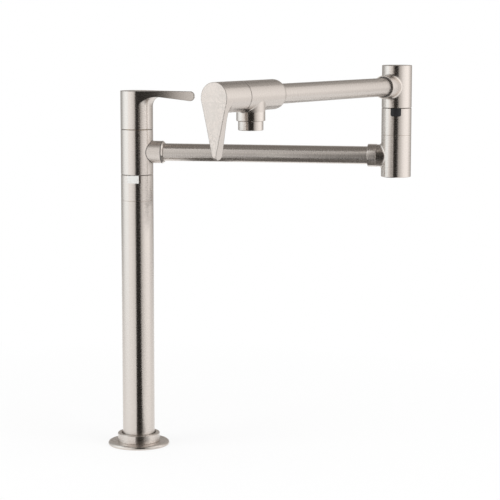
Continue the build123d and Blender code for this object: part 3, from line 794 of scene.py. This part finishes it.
@dataclass(frozen=True)
class Sheet:
    """A flat sheet of the light tent, which only metal and glass show.

    Its light changes along one axis, through stops that each give a place and the light there. Dim parts take
    the colour of the shade, and the lift brightens the sheet above the height of the lower arm. Its sizes are
    in metres.
    """

    name: str
    corners: tuple[Place, ...]
    stops: Pairs
    along: Along = Along.X
    tint: Colour = WHITE
    shade: Colour = (1.0, 0.93, 0.86)
    lift: float = 0.0
    lift_from: float = 0.3
    lift_to: float = 0.42
    one_sided: bool = False

    def build(self) -> bpy.types.Object:
        """Make the sheet and its material.

        Returns:
            The sheet's object.
        """
        mesh = bpy.data.meshes.new(self.name)
        mesh.from_pydata([Vector(corner) for corner in self.corners], [], [tuple(range(len(self.corners)))])
        sheet = bpy.data.objects.new(self.name, mesh)
        bpy.context.scene.collection.objects.link(sheet)
        mesh.materials.append(self._material())
        sheet.visible_camera = False
        sheet.visible_diffuse = False
        sheet.visible_shadow = False
        sheet.visible_transmission = False
        return sheet

    def _colour(self, light: float, brightest: float) -> tuple[float, float, float, float]:
        """Colour of a stop, as a share of the brightest light."""
        depth = max(0.0, 1.0 - light)
        return opaque(tuple(light / brightest * part * (1.0 - depth * (1.0 - dim))
                            for part, dim in zip(self.tint, self.shade)))

    def _material(self) -> bpy.types.Material:
        """Light that follows the stops.

        Returns:
            The material.
        """
        material, board = blank_material(self.name)
        place = board.add("SeparateXYZ", Vector=board.place()).outputs
        first, last = self.stops[0][0], self.stops[-1][0]
        run = board.add("MapRange", Value=place[self.along.value], From_Min=first, From_Max=last)
        ramp = board.add("ValToRGB", Fac=run.outputs["Result"])
        elements = ramp.color_ramp.elements
        brightest = max(light for _, light in self.stops)
        for number, (spot, light) in enumerate(self.stops):
            share = (spot - first) / (last - first)
            stop = elements[number] if number < 2 else elements.new(share)
            stop.position = share
            stop.color = self._colour(light, brightest)
        rise = board.add("MapRange", Value=place["Z"], From_Min=self.lift_from, From_Max=self.lift_to,
                         To_Min=brightest, To_Max=brightest * (1.0 + self.lift))
        glow = board.add("Emission", Color=ramp.outputs["Color"], Strength=rise.outputs["Result"])
        surface = glow.outputs["Emission"]
        if self.one_sided:
            behind = board.add("NewGeometry").outputs["Backfacing"]
            clear = board.add("BsdfTransparent").outputs["BSDF"]
            surface = board.add("MixShader", Fac=behind, i1=surface, i2=clear).outputs[0]
        board.add("OutputMaterial", Surface=surface)
        return material


@dataclass
class Studio:
    """World, floor, lamps and light tent. Its sizes are in metres."""

    fill: float = 0.6
    lamp_power: float = 9.0
    lamp_aim: Place = (0.15, -0.1, 0.2)
    floor_size: float = 30.0
    floor_colour: Colour = (0.93, 0.93, 0.93)
    floor_roughness: float = 0.9
    floor_white_from: float = 0.1
    floor_white_to: float = 0.7
    floor_least_white: float = 0.75
    front: float = -0.946
    back: float = 1.47
    left: float = -1.1
    right: float = 1.15
    low: float = -0.3
    high: float = 1.6
    lift: float = 0.1
    cool: Colour = (0.94, 1.0, 1.03)
    warm: Colour = (1.0, 0.99, 0.985)

    def build(self) -> None:
        """Make everything."""
        scene = bpy.context.scene
        scene.view_settings.view_transform = "Standard"
        scene.world = self._world()
        self._floor()
        for sheet in self._tent():
            sheet.build()
            log.info("put up %s", sheet.name)
        self._lamp("Left lamp", Vector((-1.3, -1.0, 1.3)), 1.2)
        self._lamp("Right lamp", Vector((1.5, -0.6, 1.2)), 1.2)
        self._lamp("Top lamp", Vector((0.1, -0.3, 1.8)), 1.6)

    def _world(self) -> bpy.types.World:
        """White to the camera, metal and glass, and a soft fill to everything else.

        Returns:
            The world.
        """
        world = bpy.data.worlds.new("Studio")
        world.use_nodes = True
        board = Board(world.node_tree)
        fill = board.add("Background", Color=opaque(WHITE), Strength=self.fill)
        white = board.add("Background", Color=opaque(WHITE), Strength=1.0)
        mix = board.add("MixShader", Fac=self._seen(board), i1=fill.outputs[0], i2=white.outputs[0])
        board.add("OutputWorld", Surface=mix.outputs[0])
        return world

    @staticmethod
    def _seen(board: Board) -> bpy.types.NodeSocket:
        """Tell what the camera, metal or glass sees from light on other surfaces.

        Args:
            board: Board of the tree that asks.

        Returns:
            An output that is one for the first and nought for the second.
        """
        path = board.add("LightPath").outputs
        seen = board.maths("MAXIMUM", path["Is Camera Ray"], path["Is Glossy Ray"])
        return board.maths("MAXIMUM", seen, path["Is Transmission Ray"])

    def _floor(self) -> None:
        """Plain pale deck, level with the underside of the flange, that pales to white away from the object."""
        half = self.floor_size / 2
        mesh = bpy.data.meshes.new("Deck")
        mesh.from_pydata([(-half, -half, 0), (half, -half, 0), (half, half, 0), (-half, half, 0)], [],
                         [(0, 1, 2, 3)])
        deck = bpy.data.objects.new("Deck", mesh)
        bpy.context.scene.collection.objects.link(deck)
        material, board = blank_material("Pale deck")
        shader = board.add("BsdfPrincipled", Base_Color=opaque(self.floor_colour),
                           Roughness=self.floor_roughness, Specular_IOR_Level=0.0)
        away = board.vector_maths("LENGTH", board.place()).outputs["Value"]
        pale = board.add("MapRange", Value=away, From_Min=self.floor_white_from, From_Max=self.floor_white_to,
                         To_Min=self.floor_least_white, To_Max=1.0)
        white = board.add("Emission", Color=opaque(WHITE), Strength=1.0)
        share = board.maths("MULTIPLY", self._seen(board), pale.outputs["Result"])
        mix = board.add("MixShader", Fac=share, i1=shader.outputs["BSDF"], i2=white.outputs["Emission"])
        board.add("OutputMaterial", Surface=mix.outputs[0])
        mesh.materials.append(material)

    def _wall(self, name: str, start: tuple[float, float], end: tuple[float, float], stops: Pairs,
              along: Along = Along.X, tint: Colour = WHITE) -> Sheet:
        """An upright sheet between two places of the floor plan."""
        corners = ((*start, self.low), (*end, self.low), (*end, self.high), (*start, self.high))
        return Sheet(name, corners, stops, along, tint, lift=self.lift)

    @staticmethod
    def _level(name: str, plan: Pairs, height: float, stops: Pairs, one_sided: bool = False) -> Sheet:
        """A level sheet over places of the floor plan."""
        return Sheet(name, tuple((*place, height) for place in plan), stops, one_sided=one_sided)

    def _tent(self) -> list[Sheet]:
        """The reflectors all round the object, with the dark gap that the camera looks through.

        The flags and the strip are small sheets near the object: the flags darken what the undersides show, and
        the strip shades the elbow.

        Returns:
            The sheets.
        """
        left, right, front, back = self.left, self.right, self.front, self.back
        return [
            self._wall("Front sheet", (left, front), (right, front),
                       ((left, 1.18), (-0.8, 1.14), (-0.6, 1.1), (-0.307, 0.93), (-0.167, 0.8), (-0.083, 0.68),
                        (0.0, 0.5), (0.05, 0.22), (0.1, 0.03), (right, 0.03))),
            self._wall("Right wing", (0.57, -0.79), (right, -0.79),
                       ((0.57, 0.03), (0.61, 0.25), (0.67, 0.44), (0.79, 0.53), (0.97, 0.7), (right, 0.8))),
            self._wall("Left sheet", (left, back), (left, front),
                       ((front, 1.18), (-0.7, 1.31), (-0.4, 1.3), (-0.2, 1.22), (-0.05, 1.14), (0.17, 0.93),
                        (0.45, 0.56), (back, 0.35)), Along.Y, self.cool),
            self._wall("Right sheet", (right, front), (right, back),
                       ((front, 0.78), (-0.79, 0.85), (-0.62, 0.95), (-0.43, 1.1), (-0.24, 1.2), (0.1, 1.26),
                        (0.31, 1.15), (0.55, 0.88), (0.9, 0.68), (back, 0.5)), Along.Y, self.warm),
            self._wall("Back sheet", (left, back), (right, back), ((left, 0.4), (right, 0.45))),
            self._level("Top sheet", ((left, front), (right, front), (right, back), (left, back)), self.high,
                        ((left, 0.3), (0.0, 0.2), (0.4, 0.22), (0.7, 0.45), (right, 0.6))),
            self._level("Floor flag", ((0.0, -0.02), (0.0, front), (0.66, front), (0.04, -0.02)), 0.002,
                        ((0.0, 0.02), (0.6, 0.02))),
            self._level("Elbow flag", ((0.305, -0.05), (0.034, front), (0.54, front)), 0.003,
                        ((0.0, 0.02), (0.6, 0.02))),
            Sheet("Elbow strip",
                  ((0.14, -0.345, 0.2), (0.14, -0.115, 0.2), (0.14, -0.115, 0.385), (0.14, -0.345, 0.385)),
                  ((-0.345, 0.12), (-0.298, 0.25), (-0.219, 0.55), (-0.165, 0.8), (-0.115, 1.05)), Along.Y,
                  one_sided=True),
            self._level("Arm flag", ((0.1, -0.075), (0.3, -0.075), (0.3, 0.045), (0.1, 0.045)), 0.255,
                        ((0.1, 0.15), (0.3, 0.15)), one_sided=True),
            self._level("Boss flag", ((0.045, -0.03), (0.1, -0.03), (0.1, 0.06), (0.045, 0.06)), 0.285,
                        ((0.045, 0.1), (0.1, 0.15)), one_sided=True),
        ]

    def _lamp(self, name: str, place: Vector, size: float) -> None:
        """Hang a soft lamp that lights the deck and the plastics, aimed at the middle of the object.

        Args:
            name: Name of the lamp.
            place: Where it hangs.
            size: Side of its square.
        """
        light = bpy.data.lights.new(name, "AREA")
        light.energy = self.lamp_power
        light.size = size
        lamp = bpy.data.objects.new(name, light)
        lamp.location = place
        lamp.rotation_euler = (Vector(self.lamp_aim) - place).to_track_quat("-Z", "Y").to_euler()
        lamp.visible_glossy = False
        bpy.context.scene.collection.objects.link(lamp)


@dataclass(frozen=True)
class PhotoCamera:
    """The camera, solved from the photograph."""

    place: Place = (0.53259, -2.04786, 0.50506)
    yaw: float = math.radians(-10.98)
    pitch: float = math.radians(-7.31)
    roll: float = -0.0013
    sensor: float = 36.0
    lens: float = 129.68

    def build(self) -> None:
        """Make the camera and look through it."""
        data = bpy.data.cameras.new("Photo camera")
        data.sensor_width = self.sensor
        data.lens = self.lens
        camera = bpy.data.objects.new("Photo camera", data)
        ahead = Vector((math.sin(self.yaw) * math.cos(self.pitch), math.cos(self.yaw) * math.cos(self.pitch),
                        math.sin(self.pitch)))
        right = Vector((math.cos(self.yaw), -math.sin(self.yaw), 0.0))
        over = right.cross(ahead)
        turn = Matrix.Rotation(self.roll, 3, ahead)
        axes = Matrix((turn @ right, turn @ over, -ahead)).transposed()
        camera.matrix_world = Matrix.Translation(self.place) @ axes.to_4x4()
        bpy.context.scene.collection.objects.link(camera)
        bpy.context.scene.camera = camera


def main() -> None:
    """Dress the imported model, then set up the studio and the camera."""
    logging.basicConfig(level=logging.INFO, format="%(message)s")
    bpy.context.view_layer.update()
    finishes = Finishes()
    parts = [
        DeckEnd(finishes),
        Post(finishes),
        LowerArm(finishes),
        UpperArm(finishes),
        Lever(finishes, "post", Lay.POST),
        Lever(finishes, "outlet", Lay.UPPER),
    ]
    for part in parts:
        part.build()
    Studio().build()
    PhotoCamera().build()


if __name__ == "__main__":
    main()
